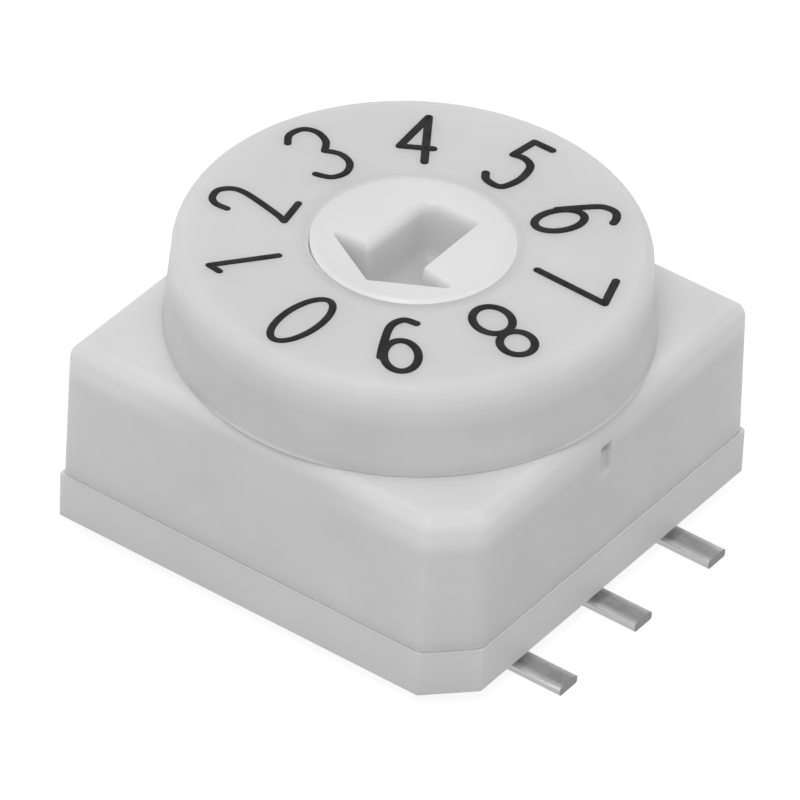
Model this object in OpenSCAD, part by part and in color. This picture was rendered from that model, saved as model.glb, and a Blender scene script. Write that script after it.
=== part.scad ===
// Ten-position rotary coded switch for surface mounting, with a thumb wheel.
// Origin: centre of the footprint, z = 0 on the solder side of the leads.
// +X and -X carry the leads, the cut corner is at +X -Y, and the selected digit faces -Y.

/* [Footprint] */
// Width of the square base
base_w = 9.88; // [9.6:0.02:10.4]
// Ledge by which the base stands out past the cover
ledge = 0.03; // [0.02:0.01:0.12]
// Length of the cut corner along each side
corner_cut = 0.9; // [0.6:0.05:1.4]
// Distance between neighbouring leads
lead_pitch = 2.54; // [2.4:0.02:2.6]
// Distance over the tips of opposite leads
lead_span = 12.0; // [11.4:0.1:13]

/* [Leads] */
// Width of a lead
lead_w = 0.56; // [0.45:0.01:0.65]
// Thickness of the lead strip
lead_t = 0.2; // [0.15:0.01:0.25]
// Centre-line radius of the lead's bends
lead_bend_r = 0.2; // [0.16:0.01:0.24]
// Gap between the leads and the underside of the base
lead_gap = 0.17; // [0.06:0.01:0.2]
// Distance from the middle of an upright leg to the cover's wall
leg_clear = 0.46; // [0.42:0.01:0.6]

/* [Base] */
// Thickness of the base plate that shows below the cover
base_t = 1.05; // [0.9:0.01:1.4]
// Rounding of the upright edges of the base
base_corner_r = 0.06; // [0.04:0.01:0.3]
// Height of the plateau that fits inside the cover
plateau_h = 0.25; // [0.15:0.01:0.4]
// Radius of the pivot post under the rotor
pivot_r = 0.45; // [0.35:0.01:0.5]
// Depth of the resin troughs and of the stake counterbores
trough_d = 0.3; // [0.2:0.01:0.45]
// Width of the resin troughs
trough_w = 0.7; // [0.6:0.01:0.8]

/* [Cover] */
// Wall of the cover's skirt
cover_wall = 0.75; // [0.6:0.01:0.85]
// Thickness of the cover's roof
roof_t = 0.79; // [0.65:0.01:1.1]
// Rounding of the cover's top edges
edge_r = 0.32; // [0.2:0.01:0.42]
// Rounding of the cover's upright edges
corner_r = 0.2; // [0.1:0.01:0.6]
// Draft of each side of the cover over its height
draft = 0.04; // [0:0.01:0.08]
// Radius of the stake pins
stake_r = 0.34; // [0.25:0.01:0.38]
// Distance of the stake pins from the middle, along X and Y
stake_xy = 3.56; // [3.5:0.01:3.6]
// Width of the index notch
notch_w = 0.34; // [0.2:0.01:0.6]
// Height of the index notch
notch_h = 0.74; // [0.6:0.01:1.1]
// Depth of the index notch
notch_d = 0.07; // [0.05:0.01:0.2]

/* [Dial] */
// Diameter of the dial at its top
dial_d = 9.58; // [9.0:0.02:9.8]
// Diameter of the dial at its lower edge
skirt_d = 9.86; // [9.8:0.02:10]
// Thickness of the dial
dial_t = 2.03; // [1.7:0.01:2.4]
// Rounding of the dial's top edge
dial_edge_r = 0.28; // [0.1:0.01:0.35]
// Gap between the cover and the dial
dial_gap = 0.05; // [0.04:0.01:0.2]
// Depth of the pocket under the dial
pocket_d = 1.15; // [0.6:0.01:1.25]
// Wall of the dial's rim
rim_wall = 0.65; // [0.5:0.01:0.9]
// Wall of the dial's hub
hub_wall = 0.65; // [0.5:0.01:0.9]
// Width of the ribs under the dial
rib_w = 0.45; // [0.3:0.01:0.7]

/* [Rotor] */
// Diameter of the boss and neck
boss_d = 4.0; // [3.9:0.01:4.1]
// Height of the boss above the dial
boss_rise = 0.03; // [0:0.01:0.2]
// Rounding of the boss's top edge
boss_edge_r = 0.14; // [0.08:0.01:0.25]
// Depth of the arrow slot
slot_d = 1.1; // [0.7:0.01:1.3]
// Width of the arrow's shaft
slot_w = 1.22; // [0.9:0.01:1.3]
// Width of the arrow's head
arrow_w = 3.06; // [2.6:0.01:3.1]
// Distance of the arrow's tip from the middle
arrow_tip = 1.62; // [1.5:0.01:1.7]
// Distance of the arrow's tail from the middle
arrow_tail = 1.22; // [1.0:0.01:1.4]
// Distance of the arrow's wing tips from the middle, along the arrow
arrow_wing = 0.8; // [0.74:0.01:0.95]
// Distance of the arrow's inner corners from the middle, along the arrow
arrow_neck = 0.68; // [0.55:0.01:0.74]
// Thickness of the rotor's flange
flange_t = 0.8; // [0.65:0.01:1.0]
// Depth of the flats that hold the dial
flat_d = 0.11; // [0.06:0.01:0.16]

/* [Detent] */
// Radius of the detent hollows
hollow_r = 0.9; // [0.75:0.01:1.0]
// Depth of the detent hollows
hollow_d = 0.28; // [0.22:0.01:0.3]
// Thickness of the detent spring
detent_t = 0.12; // [0.08:0.01:0.14]
// Room between the detent crown and the cover's roof
detent_room = 0.3; // [0.26:0.01:0.4]
// Radial width of the spring's noses
nose_w = 0.8; // [0.5:0.01:0.9]
// Radius of the spring's noses
nose_r = 0.35; // [0.25:0.01:0.4]
// Slope of the spring's noses in degrees
nose_slope = 35; // [32:1:40]

/* [Code plate] */
// Thickness of the code plate
plate_t = 0.15; // [0.1:0.01:0.2]
// Radius of the innermost track, the common one
track_r0 = 1.02; // [0.98:0.01:1.06]
// Distance between neighbouring tracks
track_pitch = 0.55; // [0.52:0.01:0.56]
// Width of a track
track_w = 0.43; // [0.36:0.01:0.45]

/* [Contacts] */
// Thickness of a leaf contact
contact_t = 0.1; // [0.07:0.01:0.12]
// Width of a leaf contact
contact_w = 0.38; // [0.3:0.01:0.44]
// Height of the code plate above the contacts' feet
contact_lift = 0.70; // [0.55:0.01:0.85]
// Length of the foot that is welded to a terminal
contact_foot = 0.56; // [0.4:0.01:0.6]

/* [Seal] */
// Section of the O-ring round the neck
seal_d = 0.5; // [0.4:0.01:0.52]

/* [Fits] */
// Running clearance between rotor and cover, and between rotor and pivot
run_gap = 0.06; // [0.03:0.01:0.09]
// Clearance between moulded pieces that fit together
fit_gap = 0.03; // [0.02:0.01:0.05]
// Gap at a sliding contact and at the seal
touch_gap = 0.02; // [0.01:0.005:0.03]

/* [Hidden] */
$fn = 64;
eps = 0.05;

// Positions and code
positions = 10;
step_a = 360 / positions;
bits = [8, 4, 2, 1];

// Heights, from the solder plane up
base_z = lead_t + lead_gap;
part_z = base_z + base_t;
floor_z = part_z + plateau_h;
pad_z = floor_z + lead_t;
foot_z = pad_z + contact_t;
plate_z = foot_z + contact_lift;
flange_z = plate_z + plate_t;
crown_z = flange_z + flange_t;
roof_z = crown_z + detent_room;
cover_z = roof_z + roof_t;
dial_z = cover_z + dial_gap;
dial_top = dial_z + dial_t;
boss_top = dial_top + boss_rise;
shoulder_h = 0.13;
shoulder_z = crown_z + shoulder_h;
seal_top = shoulder_z + touch_gap + seal_d;
skirt_z = plate_z - 0.25;

// Plan sizes
cover_w = base_w - 2 * ledge;
leg_x = cover_w / 2 - cover_wall - leg_clear;
boss_r = boss_d / 2;
plate_r = track_r0 + 4 * track_pitch + track_w / 2 + 0.16;
plate_hole_r = track_r0 - track_w / 2 - 0.15;
flange_r = plate_r + 0.15;
cavity_r = flange_r + 0.3;
pocket_r0 = boss_r + run_gap + hub_wall;
pocket_r1 = dial_d / 2 - rim_wall;
post_top = flange_z + 0.35;
seal_r = boss_r + touch_gap + seal_d / 2;
seat_r = seal_r + seal_d / 2 + touch_gap;
stake_head_r = stake_r + 0.2;
stake_head_z = base_z + 0.02;
stake_head_top = base_z + trough_d - 0.02;
trough_l = 2 * lead_pitch + lead_w + 0.16;
resin_z = max(base_z, lead_t / 2 + lead_bend_r) + 0.02;
arm_y = 3.0;
hub_ring_r = pivot_r + 0.5;
flat_x = boss_r - flat_d;
flat_z0 = dial_z + 0.2;
flat_z1 = dial_top - 0.55;
land_z0 = flat_z0 + fit_gap;
land_z1 = flat_z1 - fit_gap;
shoulder_r = seat_r;
spring_r0 = seat_r + 0.2;
spring_r1 = flange_r + 0.05;
key_w = 0.36;
key_y = spring_r1 - 0.35;
nose_half = 1.0;

// Shape helpers

function arc(c, r, a0, a1, n = 6) =
    [for (i = [0:n]) c + r * [cos(a0 + (a1 - a0) * i / n), sin(a0 + (a1 - a0) * i / n)]];

// Centres of the five rounded corners of a square with one corner cut off
function corner_centres(half, cut, r) =
    let (t = r * tan(22.5))
    [[half - cut - t, r - half], [half - r, cut + t - half],
     [half - r, half - r], [r - half, half - r], [r - half, r - half]];

// Outline of that square
function outline(half, cut, r) =
    let (c = corner_centres(half, cut, r), a = [-90, -45, 0, 90, 180, 270])
    [for (i = [0:4]) each arc(c[i], r, a[i], a[i + 1])];

// Length of the cut after the outline has moved in by w
function inner_cut(w) = corner_cut - w * (2 - sqrt(2));

function unit(v) = v / norm(v);
function left(v) = [-v.y, v.x];

// Points of the round bend at b between a and c
function bend(a, b, c, r, n = 5) =
    let (u = unit(b - a), v = unit(c - b), turn = acos(min(1, u * v)),
         s = sign(u.x * v.y - u.y * v.x), p = b - u * r * tan(turn / 2),
         m = p + left(u) * s * r, a0 = atan2(p.y - m.y, p.x - m.x))
    [for (i = [0:n]) m + r * [cos(a0 + s * turn * i / n), sin(a0 + s * turn * i / n)]];

// A path whose inner corners are bent round
function bent(p, r) =
    concat([p[0]], [for (i = [1:len(p) - 2]) each bend(p[i - 1], p[i], p[i + 1], r)], [p[len(p) - 1]]);

// The path moved sideways by d
function beside(p, d) =
    [for (i = [0:len(p) - 1])
        let (n1 = left(unit(i == 0 ? p[1] - p[0] : p[i] - p[i - 1])),
             n2 = left(unit(i == len(p) - 1 ? p[i] - p[i - 1] : p[i + 1] - p[i])))
        p[i] + d * (n1 + n2) / (1 + n1 * n2)];

function backwards(p) = [for (i = [len(p) - 1:-1:0]) p[i]];

// A strip of sheet along a path in the XZ plane, w wide along Y
module strip(p, t, w) {
    rotate([90, 0, 0])
        linear_extrude(w, center = true)
            polygon(concat(beside(p, t / 2), backwards(beside(p, -t / 2))));
}

// An annular sector that starts at angle a
module sector(r0, r1, a, sweep, z, h) {
    translate([0, 0, z])
        rotate([0, 0, a])
            rotate_extrude(angle = sweep)
                translate([r0, 0])
                    square([r1 - r0, h]);
}

// Code

// Whether bit b is closed at digit d
function closed(d, b) = floor(((d + positions) % positions) / b) % 2 == 1;

// Number of open digits in a row from digit d
function open_run(d, b, n = 0) = n == positions || closed(d + n, b) ? n : open_run(d, b, n + 1);

function track_r(b) = track_r0 + (b == 0 ? 0 : (b == 8 ? 1 : b == 4 ? 2 : b == 2 ? 3 : 4)) * track_pitch;

// Side of the switch on which bit b has its terminal and contact: +1 at +X, -1 at -X
function side_x(b) = b == 8 || b == 2 ? 1 : -1;
// Row of the terminal: +1 at +Y, -1 at -Y
function side_y(b) = b == 8 || b == 4 ? 1 : -1;

// Windows of the code plate, each narrowed by gap all round
module windows(gap, z, h) {
    for (b = bits)
        for (d = [0:positions - 1])
            if (!closed(d, b) && closed(d - 1, b)) {
                n = open_run(d, b);
                r = track_r(b);
                trim = gap / r * 180 / PI;
                contact_a = side_x(b) > 0 ? 0 : 180;
                sector(r - track_w / 2 + gap, r + track_w / 2 - gap,
                       contact_a - step_a * (d + n - 0.5) + trim, step_a * n - 2 * trim, z, h);
            }
}

// Base

module stake_places() {
    for (x = [-stake_xy, stake_xy])
        for (y = [-stake_xy, stake_xy])
            translate([x, y, 0])
                children();
}

// Room for the resin on one side, from height z0 to z1
module trough(side, z0, z1) {
    translate([side * leg_x - trough_w / 2, -trough_l / 2, z0])
        cube([trough_w, trough_l, z1 - z0]);
}

// Slots for the three legs of one side, with room for the bend at the top
module leg_slots(side) {
    bend_z = floor_z + lead_t / 2 - lead_bend_r;
    for (row = [-1:1]) {
        translate([side * leg_x, row * lead_pitch, (base_z + floor_z) / 2])
            cube([lead_t, lead_w, floor_z - base_z + 2 * eps], center = true);
        translate([side * (leg_x - lead_bend_r / 2), row * lead_pitch, (bend_z + floor_z + eps) / 2])
            cube([lead_bend_r, lead_w, floor_z + eps - bend_z], center = true);
    }
}

module pivot_post() {
    tip = 0.1;
    translate([0, 0, floor_z - eps])
        cylinder(r = pivot_r, h = post_top - tip - floor_z + eps);
    translate([0, 0, post_top - tip])
        cylinder(r1 = pivot_r, r2 = pivot_r - tip, h = tip);
}

module base() {
    plateau_in = cover_wall + fit_gap;
    color("gainsboro")
        difference() {
            union() {
                translate([0, 0, base_z])
                    linear_extrude(base_t)
                        polygon(outline(base_w / 2, corner_cut, base_corner_r));
                translate([0, 0, part_z - eps])
                    linear_extrude(plateau_h + eps)
                        polygon(outline(cover_w / 2 - plateau_in, inner_cut(ledge + plateau_in), 0.2));
                pivot_post();
            }
            stake_places() {
                translate([0, 0, base_z - eps])
                    cylinder(r = stake_r + fit_gap, h = floor_z - base_z + 2 * eps);
                translate([0, 0, base_z - eps])
                    cylinder(r = stake_head_r + fit_gap, h = trough_d + eps);
            }
            for (side = [-1, 1]) {
                leg_slots(side);
                trough(side, base_z - eps, base_z + trough_d);
            }
        }
}

// Resin

module resin(side) {
    color("dimgray")
        difference() {
            trough(side, resin_z, base_z + trough_d);
            leg_slots(side);
        }
}

module resin_left() {
    resin(-1);
}
module resin_right() {
    resin(1);
}

// Cover

module cover_body() {
    cut = inner_cut(ledge);
    foot = 0.1;
    slice = 0.001;
    hull() {
        for (c = corner_centres(cover_w / 2, cut, corner_r))
            translate([c.x, c.y, part_z])
                cylinder(r = corner_r, h = foot, $fn = 32);
        for (a = [0:15:90]) {
            inset = edge_r * (1 - cos(a));
            r = max(corner_r - inset, 0.03);
            for (c = corner_centres(cover_w / 2 - draft - inset, inner_cut(ledge + inset), r))
                translate([c.x, c.y, cover_z - edge_r * (1 - sin(a)) - slice])
                    cylinder(r = r, h = slice, $fn = 32);
        }
    }
}

// A shallow slot in the side, deeper at its top
module index_notch() {
    bottom_x = cover_w / 2 - draft - notch_d;
    top_z = cover_z - 0.66;
    deep_h = 0.25;
    deep_d = 0.13;
    translate([bottom_x, -notch_w / 2, top_z - notch_h])
        cube([1, notch_w, notch_h]);
    translate([bottom_x - deep_d, -notch_w / 2, top_z - deep_h])
        cube([1, notch_w, deep_h]);
}

// Keys under the roof that stop the detent spring from turning
module detent_keys(gap, z0, z1) {
    for (side = [-1, 1])
        translate([0, side * (key_y + cavity_r) / 2, (z0 + z1) / 2])
            cube([key_w + 2 * gap, cavity_r - key_y + 2 * gap + eps, z1 - z0], center = true);
}

module cover() {
    color("whitesmoke") {
        difference() {
            cover_body();
            translate([0, 0, part_z - eps])
                linear_extrude(skirt_z - part_z + eps)
                    polygon(outline(cover_w / 2 - cover_wall, inner_cut(ledge + cover_wall), 0.2));
            translate([0, 0, part_z])
                cylinder(r = cavity_r, h = roof_z - part_z);
            translate([0, 0, roof_z - eps])
                cylinder(r = seat_r, h = seal_top + 0.01 - roof_z + eps);
            translate([0, 0, roof_z])
                cylinder(r = boss_r + run_gap, h = roof_t + eps);
            index_notch();
        }
        stake_places() {
            translate([0, 0, stake_head_z])
                cylinder(r = stake_r, h = skirt_z - stake_head_z + eps);
            translate([0, 0, stake_head_z])
                cylinder(r = stake_head_r, h = stake_head_top - stake_head_z);
        }
        detent_keys(0, roof_z - detent_t, roof_z + eps);
    }
}

// Dial

module dial_bore() {
    r = boss_r + run_gap;
    intersection() {
        translate([0, 0, dial_z - eps])
            cylinder(r = r, h = dial_t + 2 * eps);
        union() {
            translate([-r, -r, dial_z - eps])
                cube([2 * r, 2 * r, land_z0 - dial_z + eps]);
            translate([-flat_x - fit_gap, -r, dial_z])
                cube([2 * (flat_x + fit_gap), 2 * r, dial_t]);
            translate([-r, -r, land_z1])
                cube([2 * r, 2 * r, dial_top - land_z1 + eps]);
        }
    }
}

module dial_pocket() {
    ribs = 5;
    difference() {
        sector(pocket_r0, pocket_r1, 0, 360, dial_z - eps, pocket_d + eps);
        for (k = [0:ribs - 1])
            rotate([0, 0, 90 + 360 / ribs * k])
                translate([0, -rib_w / 2, dial_z - 2 * eps])
                    cube([base_w / 2, rib_w, pocket_d + 3 * eps]);
    }
}

module dial() {
    top_r = dial_d / 2;
    foot = 0.06;
    color("lightgray")
        difference() {
            rotate_extrude($fn = 96)
                polygon(concat([[0, dial_z], [skirt_d / 2 - foot, dial_z], [skirt_d / 2, dial_z + foot]],
                               arc([top_r - dial_edge_r, dial_top - dial_edge_r], dial_edge_r, 0, 90),
                               [[0, dial_top]]));
            dial_bore();
            dial_pocket();
        }
}

// Rotor

module arrow_slot() {
    half = slot_w / 2;
    translate([0, 0, boss_top - slot_d])
        linear_extrude(slot_d + eps)
            polygon([[0, -arrow_tip], [arrow_w / 2, -arrow_wing], [half, -arrow_neck], [half, arrow_tail],
                     [-half, arrow_tail], [-half, -arrow_neck], [-arrow_w / 2, -arrow_wing]]);
}

module detent_hollows() {
    r0 = shoulder_r + 0.1;
    for (k = [0:positions - 1])
        rotate([0, 0, step_a * k])
            translate([r0, 0, crown_z - hollow_d + hollow_r])
                rotate([0, 90, 0])
                    cylinder(r = hollow_r, h = flange_r - r0 + eps);
}

module boss_flats() {
    for (side = [-1, 1])
        translate([side > 0 ? flat_x : -flat_x - 1, -boss_r, flat_z0])
            cube([1, 2 * boss_r, flat_z1 - flat_z0]);
}

module rotor() {
    bevel = 0.08;
    color("white") {
        difference() {
            rotate_extrude($fn = 96)
                polygon(concat([[0, flange_z], [flange_r - bevel, flange_z], [flange_r, flange_z + bevel],
                                [flange_r, crown_z - bevel], [flange_r - bevel, crown_z],
                                [shoulder_r, crown_z], [shoulder_r, shoulder_z], [boss_r, shoulder_z]],
                               arc([boss_r - boss_edge_r, boss_top - boss_edge_r], boss_edge_r, 0, 90),
                               [[0, boss_top]]));
            translate([0, 0, flange_z - eps])
                cylinder(r = pivot_r + run_gap, h = post_top + touch_gap - flange_z + eps);
            detent_hollows();
            boss_flats();
            arrow_slot();
        }
        windows(fit_gap, plate_z, plate_t + eps);
    }
}

module code_disc() {
    color("gold")
        difference() {
            translate([0, 0, plate_z])
                cylinder(r = plate_r, h = plate_t);
            translate([0, 0, plate_z - eps])
                cylinder(r = plate_hole_r, h = plate_t + 2 * eps);
            windows(0, plate_z - eps, plate_t + 2 * eps);
        }
}

// Detent spring and shaft seal

module nose_strip() {
    mid_z = roof_z - detent_t / 2;
    low_z = crown_z - hollow_d + touch_gap + detent_t / 2;
    apex_z = low_z - nose_r * (1 / cos(nose_slope) - 1);
    half = (mid_z - apex_z) / tan(nose_slope);
    flat = nose_half + 0.35;
    strip(concat([[-flat, mid_z]],
                 bend([-flat, mid_z], [-half, mid_z], [0, apex_z], 0.2, 4),
                 bend([-half, mid_z], [0, apex_z], [half, mid_z], nose_r, 8),
                 bend([0, apex_z], [half, mid_z], [flat, mid_z], 0.2, 4),
                 [[flat, mid_z]]),
          detent_t, nose_w);
}

module detent_spring() {
    mid_r = (spring_r0 + spring_r1) / 2;
    color("silver") {
        difference() {
            sector(spring_r0, spring_r1, 0, 360, roof_z - detent_t, detent_t);
            for (side = [-1, 1])
                translate([side * mid_r, 0, roof_z])
                    cube([2 * (spring_r1 - spring_r0), 2 * nose_half, 1], center = true);
            detent_keys(fit_gap, roof_z - 1, roof_z + 1);
        }
        for (side = [-1, 1])
            translate([side * mid_r, 0, 0])
                rotate([0, 0, 90])
                    nose_strip();
    }
}

module shaft_seal() {
    color("darkslategray")
        translate([0, 0, seal_top - seal_d / 2])
            rotate_extrude()
                translate([seal_r, 0])
                    circle(r = seal_d / 2, $fn = 32);
}

// Terminals: lead, leg and inner pad in one strip

module terminal(b) {
    x = side_x(b);
    mid_z = floor_z + lead_t / 2;
    pad_x = min(track_r(b) - contact_w / 2 - 0.05, leg_x - 2 * lead_bend_r);
    color("silver")
        translate([0, side_y(b) * lead_pitch, 0])
            strip(bent([[x * lead_span / 2, lead_t / 2], [x * leg_x, lead_t / 2],
                        [x * leg_x, mid_z], [x * pad_x, mid_z]], lead_bend_r),
                  lead_t, lead_w);
}

module terminal_1() {
    terminal(1);
}
module terminal_2() {
    terminal(2);
}
module terminal_4() {
    terminal(4);
}
module terminal_8() {
    terminal(8);
}

module terminal_common() {
    mid_z = floor_z + lead_t / 2;
    tip = lead_span / 2;
    color("silver")
        difference() {
            union() {
                strip(bent([[-tip, lead_t / 2], [-leg_x, lead_t / 2], [-leg_x, mid_z],
                            [leg_x, mid_z], [leg_x, lead_t / 2], [tip, lead_t / 2]], lead_bend_r),
                      lead_t, lead_w);
                translate([0, 0, floor_z])
                    cylinder(r = hub_ring_r, h = lead_t);
                translate([-lead_w / 2, -arm_y, floor_z])
                    cube([lead_w, arm_y, lead_t]);
            }
            translate([0, 0, floor_z - eps])
                cylinder(r = pivot_r + fit_gap, h = lead_t + 2 * eps);
        }
}

// Contacts: a leaf whose nose touches its track at distance reach from its welded end

module leaf(reach) {
    r = 0.15;
    foot_end = contact_foot + 0.06;
    foot_mid = pad_z + contact_t / 2;
    nose = [reach, plate_z - touch_gap - contact_t / 2 - r];
    ahead = nose - [foot_end, foot_mid];
    rise = atan2(ahead.y, ahead.x) + asin(r / norm(ahead));
    start = nose + r * [-sin(rise), cos(rise)];
    fall = -30;
    nose_end = nose + r * [-sin(fall), cos(fall)];
    color("gold")
        strip(concat([[0, foot_mid]],
                     bend([0, foot_mid], [foot_end, foot_mid], start, 0.3, 3),
                     arc(nose, r, rise + 90, fall + 90, 5),
                     [nose_end + 0.2 * [cos(fall), sin(fall)]]),
              contact_t, contact_w);
}

module contact(b) {
    reach = lead_pitch + contact_foot / 2;
    translate([side_x(b) * track_r(b), side_y(b) * reach, 0])
        rotate([0, 0, -90 * side_y(b)])
            leaf(reach);
}

module contact_1() {
    contact(1);
}
module contact_2() {
    contact(2);
}
module contact_4() {
    contact(4);
}
module contact_8() {
    contact(8);
}

module contact_common() {
    translate([0, -arm_y, 0])
        rotate([0, 0, 90])
            leaf(arm_y - track_r0);
}

base();
cover();
dial();
rotor();
code_disc();
detent_spring();
shaft_seal();
terminal_1();
terminal_2();
terminal_4();
terminal_8();
terminal_common();
contact_1();
contact_2();
contact_4();
contact_8();
contact_common();
resin_left();
resin_right();
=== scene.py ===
import bmesh
import bpy
from math import atan2, cos, degrees, pi, radians, sin, sqrt, tan
from mathutils import Matrix, Vector


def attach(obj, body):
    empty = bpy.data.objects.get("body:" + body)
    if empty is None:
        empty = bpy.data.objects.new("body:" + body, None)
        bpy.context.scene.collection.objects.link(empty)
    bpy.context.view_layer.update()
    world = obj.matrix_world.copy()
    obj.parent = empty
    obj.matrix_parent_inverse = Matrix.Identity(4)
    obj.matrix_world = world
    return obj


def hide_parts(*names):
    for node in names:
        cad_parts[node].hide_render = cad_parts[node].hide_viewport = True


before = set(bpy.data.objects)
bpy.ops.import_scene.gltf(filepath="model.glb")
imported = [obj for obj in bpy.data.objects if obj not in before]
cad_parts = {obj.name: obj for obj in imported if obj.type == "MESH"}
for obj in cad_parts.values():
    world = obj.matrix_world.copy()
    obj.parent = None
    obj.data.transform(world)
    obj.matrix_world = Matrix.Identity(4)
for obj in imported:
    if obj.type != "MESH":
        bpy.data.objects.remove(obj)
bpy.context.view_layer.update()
MM = 0.001

# Heights above the solder plane, as in the part's source
BASE_Z = 0.37  # underside of the base
PART_Z = 1.42  # joint of base and cover
FLOOR_Z = 1.67  # top of the base's plateau, under the leads' pads
SKIRT_Z = 2.42  # lower end of the cover's round cavity
PLATE_Z = 2.67  # underside of the code plate
FLANGE_Z = 2.82  # underside of the rotor's flange
PIVOT_Z = 3.19  # upper end of the pivot hole
CROWN_Z = 3.62  # top of the flange between its hollows
SHOULDER_Z = 3.75  # shoulder at the foot of the rotor's neck
ROOF_Z = 3.92  # roof inside the cover
SEAT_Z = 4.28  # upper end of the seal's counterbore
COVER_Z = 4.71  # top of the cover
DIAL_Z = 4.76  # underside of the wheel
DIAL_TOP = 6.79  # top of the wheel
BOSS_TOP = 6.82  # top of the boss

# Base and cover in plan
BASE_HALF = 4.94  # half the base's width
COVER_HALF = 4.91  # half the cover's width at its foot
COVER_DRAFT = 0.04  # how far the cover's sides lean in
COVER_WALL = 0.75
CORNER_CUT = 0.9
MITRE = 2 - sqrt(2)  # how much shorter the cut corner's legs get for each unit of inset
STAKE_XY = 3.56
BORE_R, SEAT_R, CAVITY_R = 2.06, 2.54, 4.045

# Wheel and boss
WHEEL_R, WHEEL_TOP_R = 4.93, 4.79
WHEEL_DROP = 0.046  # how far the wheel's outer edge hangs below its underside
POCKET_R0, POCKET_R1, POCKET_D = 2.71, 4.16, 1.15
BOSS_R, HEAD_R, FLANGE_R = 2.0, 2.06, 3.745
DISH_R, DISH_Z = 2.38, DIAL_TOP - 0.03
FLAT_X, FLAT_GAP = 1.89, 0.03  # the boss's flats from the axis, and the wheel's gap to them
FLAT_Z0, FLAT_Z1 = 4.96, 6.24
SLOT_D = 1.35  # depth of the driver's slot

# Leads
LEAD_W, LEAD_T, LEAD_BEND = 0.59, 0.2, 0.2
LEAD_PITCH, LEAD_TIP, LEG_X = 2.54, 6.0, 3.70

# Each bit's track radius on the code plate, and the side and row of its lead
TRACKS = {8: 1.57, 4: 2.12, 2: 2.67, 1: 3.22}
SIDES = {1: (-1, -1), 2: (1, -1), 4: (-1, 1), 8: (1, 1)}


# Mesh helpers

class Shell:
    """The rings and faces of one piece, in millimetres."""

    def __init__(self):
        self.bm = bmesh.new()

    def ring(self, points):
        return [self.bm.verts.new(Vector(p) * MM) for p in points]

    def circles(self, sizes, count=96):
        """Rings round the axis, given as radius and height."""
        return [self.ring(circle(r, z, count)) for r, z in sizes]

    def skin(self, *rings):
        """Bands of quads from each ring to the next."""
        for a, b in zip(rings, rings[1:]):
            for i in range(len(a)):
                j = (i + 1) % len(a)
                self.bm.faces.new((a[i], a[j], b[j], b[i]))

    def cap(self, ring, centre):
        """A fan from a ring to one point."""
        tip = self.bm.verts.new(Vector(centre) * MM)
        for i in range(len(ring)):
            self.bm.faces.new((ring[i], ring[(i + 1) % len(ring)], tip))

    def fill(self, *rings):
        """The flat region between loops that lie in one plane."""
        edges = []
        for ring in rings:
            for i in range(len(ring)):
                pair = (ring[i], ring[(i + 1) % len(ring)])
                edges.append(self.bm.edges.get(pair) or self.bm.edges.new(pair))
        bmesh.ops.triangle_fill(self.bm, use_beauty=True, use_dissolve=False, edges=edges)

    def block(self, low, high):
        """A box between two corners."""
        (x0, y0, z0), (x1, y1, z1) = low, high
        rings = [self.ring([(x0, y0, z), (x1, y0, z), (x1, y1, z), (x0, y1, z)]) for z in (z0, z1)]
        self.skin(*rings)
        for ring in rings:
            self.bm.faces.new(ring)

    def piece(self, name):
        bmesh.ops.recalc_face_normals(self.bm, faces=self.bm.faces)
        return placed(name, mesh_of(self.bm, name))


def mesh_of(bm, name):
    """The mesh that a bmesh holds; the bmesh is freed."""
    mesh = bpy.data.meshes.new(name)
    bm.to_mesh(mesh)
    bm.free()
    return mesh


def smoothed(mesh, sharp=40):
    """Shades a mesh smooth but for edges sharper than that many degrees."""
    mesh.shade_smooth()
    mesh.set_sharp_from_angle(angle=radians(sharp))


def placed(name, mesh, sharp=40):
    """A piece at the origin with that mesh."""
    obj = bpy.data.objects.new(name, mesh)
    bpy.context.scene.collection.objects.link(obj)
    smoothed(mesh, sharp)
    return obj


def applied(obj):
    """The plain mesh that an object's modifiers make."""
    bpy.context.view_layer.update()
    return bpy.data.meshes.new_from_object(obj.evaluated_get(bpy.context.evaluated_depsgraph_get()))


def ease(x, a, b):
    """Soft step from nothing at a to one at b."""
    t = min(1, max(0, (x - a) / (b - a)))
    return t * t * (3 - 2 * t)


def apart(a, b):
    """Angle from b to a, within half a turn either way."""
    return (a - b + pi) % (2 * pi) - pi


def circle(r, z, count=96, centre=(0, 0)):
    """Points of a level circle."""
    turn = [2 * pi * i / count for i in range(count)]
    return [(centre[0] + r * cos(a), centre[1] + r * sin(a), z) for a in turn]


def quarter(steps):
    """Pairs (sine, one less cosine) over a quarter turn."""
    return [(sin(pi / 2 * i / steps), 1 - cos(pi / 2 * i / steps)) for i in range(steps + 1)]


def moved_in(outline, corners, insets, steps=6, least=0.006):
    """The outline with each straight side moved in by its own inset and its corners rounded."""
    count = len(outline)
    sides = []
    for i in range(count):
        a, b = Vector(outline[i]), Vector(outline[(i + 1) % count])
        along = (b - a).normalized()
        sides.append((a + Vector((-along.y, along.x)) * insets[i], along))
    points = []
    for i in range(count):
        (p, u), (q, v) = sides[i - 1], sides[i]
        turn = u.x * v.y - u.y * v.x
        corner = p + u * (((q - p).x * v.y - (q - p).y * v.x) / turn)
        inset = (insets[i - 1] + insets[i]) / 2
        r = max(least, corners[i] - inset if turn > 0 else corners[i] + inset)
        half = atan2(turn, u.dot(v)) / 2
        side = 1 if turn > 0 else -1
        centre = corner - u * r * abs(tan(half)) + Vector((-u.y, u.x)) * r * side
        start = atan2(-u.x * side, u.y * side)
        for k in range(steps + 1):
            a = start + 2 * half * k / steps
            points.append((centre.x + r * cos(a), centre.y + r * sin(a)))
    return points


# Cover

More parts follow.
